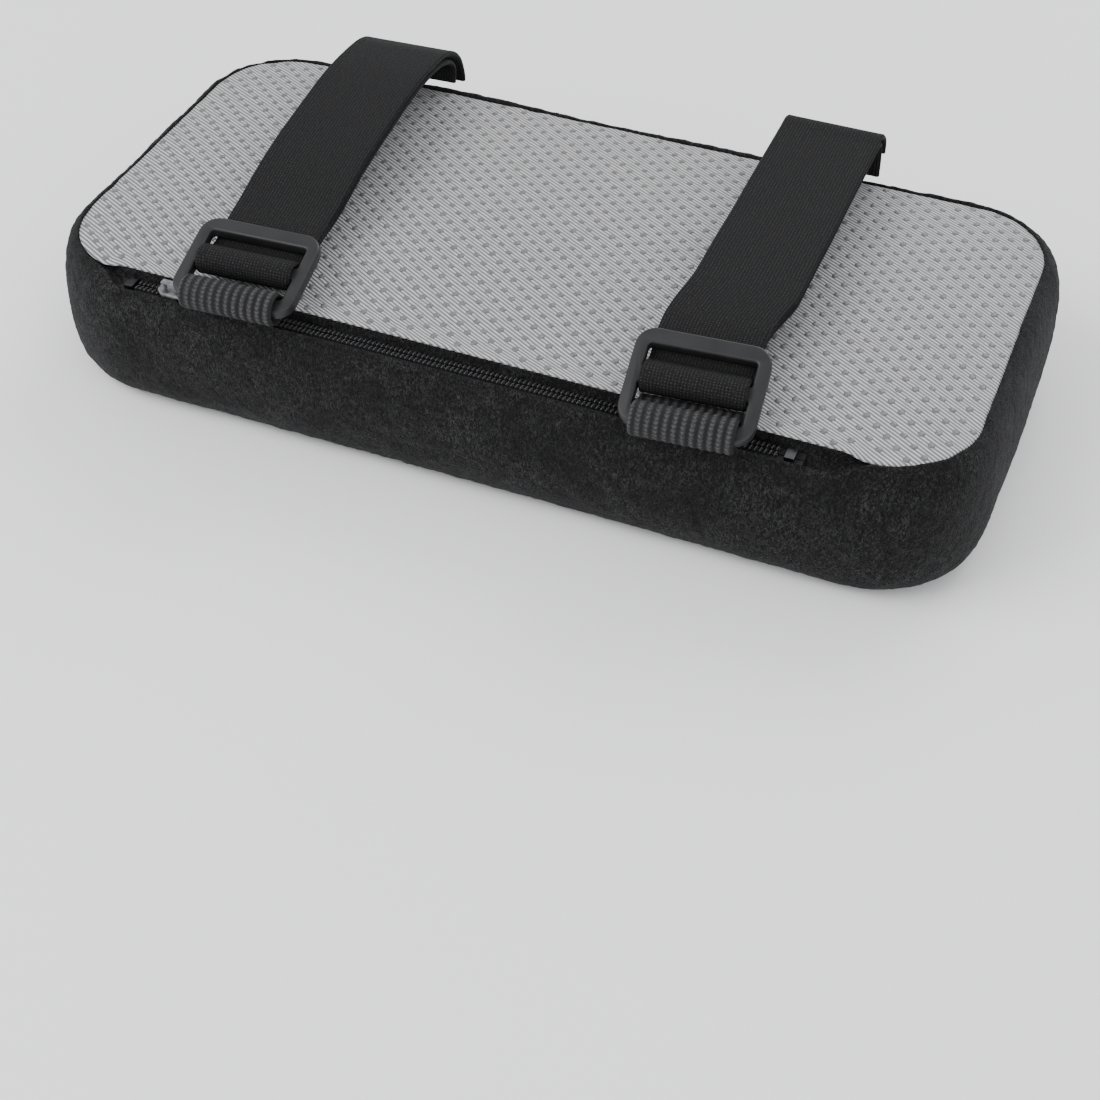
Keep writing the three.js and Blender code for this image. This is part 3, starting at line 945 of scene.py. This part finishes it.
def flat_profile(thickness, steps=18):
    """A strap's section: flat, with firm rounded edges."""
    top = [(share, thickness / 2 * (1.06 if abs(share) > 0.9 else 1.0))
           for share in np.linspace(-0.965, 0.965, steps)]
    bottom = [(share, -height) for share, height in reversed(top)]
    return top + [(0.992, thickness * 0.32), (1.0, 0.0), (0.992, -thickness * 0.32)] + bottom + [
        (-0.992, -thickness * 0.32), (-1.0, 0.0), (-0.992, thickness * 0.32)]


def ribbed_profile(thickness, count):
    """A webbing section with lengthwise ribs on both faces."""
    top = []
    for i in range(count * 6 + 1):
        share = -0.97 + 1.94 * i / (count * 6)
        rib = abs(math.sin(math.pi * i / 6))
        top.append((share, thickness / 2 * (0.62 + 0.38 * rib ** 0.6)))
    bottom = [(share, -height) for share, height in reversed(top)]
    return top + [(1.0, 0.0)] + bottom + [(-1.0, 0.0)]


def bar_of(name):
    """Where the near bar of a side's buckle is, and how far it is turned about Z."""
    body = name + "_buckle"
    found = [joint for joint in frame["joints"] if joint["child"] == body]
    if not found:
        raise RuntimeError(f"the frame has no joint for {body}")
    axis = found[0]["axis"]
    return Vector(found[0]["pos_m"]), math.atan2(axis[1], axis[0])


def strap_path(side, bar):
    """(y, z) in millimetres along the whole strap, from the far seam to its free end."""
    tilt = math.radians(side["tilt"])
    bar_y, bar_z = bar.y / MM, bar.z / MM

    def in_pad(along, up):
        return (bar_y + along * math.cos(tilt) - up * math.sin(tilt),
                bar_z + along * math.sin(tilt) + up * math.cos(tilt))

    start = in_pad(RUN_START, -3.5)
    half = LAYER_SPACING / 2
    inner = shifted(along_curve([start, *side["run"], *side["inner_end"]], 1.0), -half)
    outer = shifted(along_curve([start, *side["run"], *side["outer_end"]], 1.0), half)
    held = [in_pad(*point) for point in STRAP_IN_BUCKLE]
    whole = list(inner[::-1][::6]) + [tuple(inner[3])] + held + [tuple(outer[3])] + list(
        outer[6::6]) + [tuple(outer[-1])]
    return along_curve(whole, 0.8)


class ARMREST_OT_straps(bpy.types.Operator):
    """Model each elastic strap as one length of webbing, from its seam to its free end"""
    bl_idname = "armrest.straps"
    bl_label = "Elastic straps"

    def execute(self, context):
        elastic = elastic_material()
        for name, side in SIDES.items():
            bar, turn = bar_of(name)
            strap = self.make_strap(name, side, bar, turn)
            dress(strap, elastic)
            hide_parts("strap_inner_run_" + name, "strap_outer_run_" + name,
                        "strap_turn_" + name)
            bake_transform(strap)
        return {"FINISHED"}

    def make_strap(self, name, side, bar, turn):
        path = strap_path(side, bar)
        centres, frames_of = [], []
        strap_turn = math.radians(side["strap_turn"])
        on_line = Vector((side["strap_x"] * MM, bar.y, bar.z))
        for (y, z), (ty, tz) in zip(path, directions(path)):
            from_bar = Vector((0, y * MM - bar.y, z * MM - bar.z))
            yawed = 1 - float(smoothstep(np.array(from_bar.y), 23 * MM, 46 * MM))
            squeezed = 1 - float(smoothstep(np.array(from_bar.y), 22 * MM, 44 * MM))
            on_run = on_line + Matrix.Rotation(strap_turn, 3, "Z") @ from_bar
            in_buckle = bar + Matrix.Rotation(turn, 3, "Z") @ from_bar
            here = Matrix.Rotation(strap_turn + yawed * (turn - strap_turn), 3, "Z")
            up = here @ Vector((0, -tz, ty))
            sag = 0.12 * MM * noise.noise(Vector((y / 14, z / 9, turn)))
            sway = 0.25 * MM * noise.noise(Vector((y / 22, z / 15, 4)))
            across = here @ Vector((1, 0, 0))
            centres.append(on_run.lerp(in_buckle, yawed) + up * sag + across * sway)
            width = sizes().strap_width + squeezed * (
                sizes().buckled_width - sizes().strap_width)
            frames_of.append((across, up, width, 1.0))
        profile = flat_profile(sizes().webbing_thickness)
        return band("strap_" + name, centres, frames_of, profile)


class ARMREST_OT_loops(bpy.types.Operator):
    """Model the ribbed loops that hold the buckles at the near seam"""
    bl_idname = "armrest.loops"
    bl_label = "Buckle loops"

    def execute(self, context):
        webbing = ribbed_webbing_material()
        for name in SIDES:
            bar, turn = bar_of(name)
            loop = self.make_loop(name, bar, Matrix.Rotation(turn, 3, "Z"))
            dress(loop, webbing)
            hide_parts("buckle_loop_" + name)
            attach(loop, "pad")
        return {"FINISHED"}

    def make_loop(self, name, bar, turned):
        tail = LOOP_TAIL_END - bar.y / MM
        low = LOOP_TAIL_LEVEL - bar.z / MM
        wrap_radius = 3.75
        path = [(tail, low + 0.55), (tail - 2.2, low + 0.65)]
        # Where the bar stands low, the webbing first runs level under it.
        if low < -2:
            angles = range(-62, -322, -20)
        else:
            path.append((tail - 4.4, low + 0.6))
            angles = range(-48, -318, -20)
        for degrees in angles:
            angle = math.radians(degrees)
            path.append((wrap_radius * math.cos(angle), wrap_radius * math.sin(angle)))
        path.append((wrap_radius * 1.12, low * 0.15 + 1.0))
        path.append((tail - 1.6, low + 2.0))
        path.append((tail, low + 1.55))
        smooth = along_curve(path, 0.45)
        centres, frames_of = [], []
        for (y, z), (ty, tz) in zip(smooth, directions(smooth)):
            pressed = float(smoothstep(np.array(tail - y), 0.0, 4.0))
            centres.append(bar + turned @ Vector((0, y * MM, z * MM)))
            frames_of.append((turned @ Vector((1, 0, 0)), turned @ Vector((0, -tz, ty)),
                              sizes().buckled_width - 0.4 * MM, 0.6 + 0.4 * pressed))
        profile = ribbed_profile(sizes().webbing_thickness, sizes().loop_ribs)
        return band("loop_" + name, centres, frames_of, profile)


# ---- buckles ----

class ARMREST_OT_buckles(bpy.types.Operator):
    """Model the moulded three-bar buckle once, and set a copy at each strap"""
    bl_idname = "armrest.buckles"
    bl_label = "Buckles"

    def execute(self, context):
        plastic = plastic_material()
        pattern = self.make_buckle()
        for name, side in SIDES.items():
            bar, turn = bar_of(name)
            buckle = pattern.copy()
            buckle.data = pattern.data.copy()
            buckle.name = "three_bar_buckle_" + name
            context.scene.collection.objects.link(buckle)
            buckle.matrix_world = (
                Matrix.Translation(bar)
                @ Matrix.Rotation(turn, 4, "Z")
                @ Matrix.Rotation(math.radians(side["tilt"]), 4, "X"))
            apply_place(buckle)
            dress(buckle, plastic)
            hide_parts("buckle_" + name)
            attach(buckle, name + "_buckle")
        bpy.data.objects.remove(pattern)
        return {"FINISHED"}

    def make_buckle(self):
        width, spacing = sizes().buckle_width, sizes().bar_spacing
        middle = Vector((0, spacing, 0))
        block_size = Vector((width, 2 * spacing + OUTER_BAR, BUCKLE_THICKNESS))
        buckle = rounded_block(middle, block_size, BUCKLE_CORNER, 8)
        slot_depth = spacing - OUTER_BAR / 2 - CENTRE_BAR / 2
        offset = (CENTRE_BAR + slot_depth) / 2
        for direction in (-1, 1):
            slot_size = Vector((width - 2 * BUCKLE_RAIL, slot_depth, 3 * BUCKLE_THICKNESS))
            slot_middle = middle + Vector((0, direction * offset, 0))
            cut_away(buckle, rounded_block(slot_middle, slot_size, 0.9 * MM, 4))
        round_edges(buckle, 0.6 * MM, 3, 50)
        shade_smooth(buckle, 40)
        return buckle


# ---- zip ----

class ARMREST_OT_zip(bpy.types.Operator):
    """Model the zip's coils and dress its tapes, stops, slider and pull"""
    bl_idname = "armrest.zip"
    bl_label = "Zip"

    def execute(self, context):
        nylon, tape = zip_nylon_material(), zip_tape_material()
        metal = zip_metal_material("zip_metal", colours().metal)
        dark_metal = zip_metal_material("zip_stop_metal", [0.2 * c for c in colours().metal])
        for node, name in (("zip_coil_cover_side", "coil_turns_cover_side"),
                           ("zip_coil_panel_side", "coil_turns_panel_side")):
            coil = self.make_coil(context, node, name)
            dress(coil, nylon)
            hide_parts(node)
            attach(coil, "pad")
        for node in ("zip_tape_cover_side", "zip_tape_panel_side"):
            dress(frame["nodes"][node], tape)
        for node in ("zip_slider", "zip_pull_tab"):
            dress(frame["nodes"][node], metal)
        for node in ("zip_stop_closed_end", "zip_stop_open_end"):
            dress(frame["nodes"][node], dark_metal)
        return {"FINISHED"}

    def make_coil(self, context, node, name):
        """One flattened turn of nylon, repeated along the tape's edge."""
        low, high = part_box(node)
        size = high - low
        pitch = sizes().coil_pitch
        wire, tube = 0.27 * MM, 0.25
        count = int((size.x - 2 * wire) / pitch)
        deselect_all()
        bpy.ops.mesh.primitive_torus_add(
            major_segments=12, minor_segments=5, major_radius=1, minor_radius=tube,
            location=(0, 0, 0), rotation=(0, math.pi / 2, 0))
        coil = context.object
        coil.name = name
        apply_place(coil)
        points = coordinates(coil)
        circle = np.hypot(points[:, 1], points[:, 2])
        away = circle - 1
        unit = points[:, 1:] / circle[:, None]
        points[:, 1] = unit[:, 0] * (size.y / 2 - wire + away / tube * wire)
        points[:, 2] = unit[:, 1] * (size.z / 2 - wire + away / tube * wire)
        points[:, 0] = points[:, 0] / tube * wire + unit[:, 0] * pitch * 0.22
        points += np.array([low.x + wire + pitch / 2, (low.y + high.y) / 2, (low.z + high.z) / 2])
        set_coordinates(coil, points)
        repeat = coil.modifiers.new("turns", "ARRAY")
        repeat.count = count
        repeat.use_relative_offset = False
        repeat.use_constant_offset = True
        repeat.constant_offset_displace = (pitch, 0, 0)
        apply_modifier(coil, repeat)
        shade_smooth(coil)
        return coil


# ---- stage ----

class ARMREST_OT_stage(bpy.types.Operator):
    """Set the pale floor, the soft lights and the camera"""
    bl_idname = "armrest.stage"
    bl_label = "Stage"

    def execute(self, context):
        deselect_all()
        bpy.ops.mesh.primitive_plane_add(size=8, location=(0, 0, -0.0002))
        floor = context.object
        floor.name = "floor"
        material, tree, shader = new_material("pale_floor")
        cloud = noise_of(tree, place_coordinates(tree), 3, 2)
        worn = [0.985 * c for c in colours().floor]
        paint(tree, shader, mix_colour(tree, cloud, worn, colours().floor))
        shader.inputs["Roughness"].default_value = 0.7
        shader.inputs["Specular IOR Level"].default_value = 0.2
        floor.data.materials.append(material)
        world = bpy.data.worlds.new("studio")
        world.use_nodes = True
        world.node_tree.nodes["Background"].inputs["Color"].default_value = (0.96, 0.97, 1, 1)
        world.node_tree.nodes["Background"].inputs["Strength"].default_value = 1.0
        context.scene.world = world
        self.add_light("key", (-0.75, -0.55, 0.95), 0.9, 14)
        self.add_light("fill", (0.9, -0.75, 0.6), 1.0, 6)
        self.add_light("back", (0.25, 0.95, 0.8), 0.8, 8)
        self.add_camera(context)
        return {"FINISHED"}

    def add_light(self, name, place, size, power):
        light = bpy.data.lights.new(name, "AREA")
        light.shape = "SQUARE"
        light.size = size
        light.energy = power
        lamp = bpy.data.objects.new(name, light)
        lamp.location = place
        lamp.rotation_euler = (-Vector(place)).to_track_quat("-Z", "Y").to_euler()
        bpy.context.scene.collection.objects.link(lamp)

    def add_camera(self, context):
        azimuth, elevation = math.radians(22.3), math.radians(44.0)
        forward = Vector((-math.sin(azimuth) * math.cos(elevation),
                          math.cos(azimuth) * math.cos(elevation), -math.sin(elevation)))
        data = bpy.data.cameras.new("camera")
        data.lens = 62.4
        data.sensor_width = 36
        camera = bpy.data.objects.new("camera", data)
        camera.location = (0.1588, -0.3925, 0.3329)
        camera.rotation_euler = forward.to_track_quat("-Z", "Y").to_euler()
        context.scene.collection.objects.link(camera)
        context.scene.camera = camera


# ---- panel and registration ----

class ARMREST_PT_pieces(bpy.types.Panel):
    """The pad's pieces, in the order they are made"""
    bl_idname = "ARMREST_PT_pieces"
    bl_label = "Armrest Pad"
    bl_space_type = "VIEW_3D"
    bl_region_type = "UI"
    bl_category = "Armrest Pad"

    def draw(self, context):
        column = self.layout.column()
        for operator in OPERATORS:
            column.operator(operator.bl_idname)
        for group in (context.scene.armrest_sizes, context.scene.armrest_colours):
            for key in group.bl_rna.properties.keys():
                if key not in {"rna_type", "name"}:
                    column.prop(group, key)


OPERATORS = (
    ARMREST_OT_stage,
    ARMREST_OT_foam,
    ARMREST_OT_cover,
    ARMREST_OT_grip_panel,
    ARMREST_OT_zip,
    ARMREST_OT_loops,
    ARMREST_OT_buckles,
    ARMREST_OT_straps,
)
CLASSES = (ArmrestPadSizes, ArmrestPadColours, *OPERATORS, ARMREST_PT_pieces)


def register():
    for cls in CLASSES:
        bpy.utils.register_class(cls)
    bpy.types.Scene.armrest_sizes = bpy.props.PointerProperty(type=ArmrestPadSizes)
    bpy.types.Scene.armrest_colours = bpy.props.PointerProperty(type=ArmrestPadColours)


def unregister():
    del bpy.types.Scene.armrest_colours
    del bpy.types.Scene.armrest_sizes
    for cls in reversed(CLASSES):
        bpy.utils.unregister_class(cls)


def main():
    register()
    bpy.ops.armrest.stage()
    bpy.ops.armrest.foam()
    bpy.ops.armrest.cover()
    bpy.ops.armrest.grip_panel()
    bpy.ops.armrest.zip()
    bpy.ops.armrest.loops()
    bpy.ops.armrest.buckles()
    bpy.ops.armrest.straps()


if __name__ == "__main__":
    main()
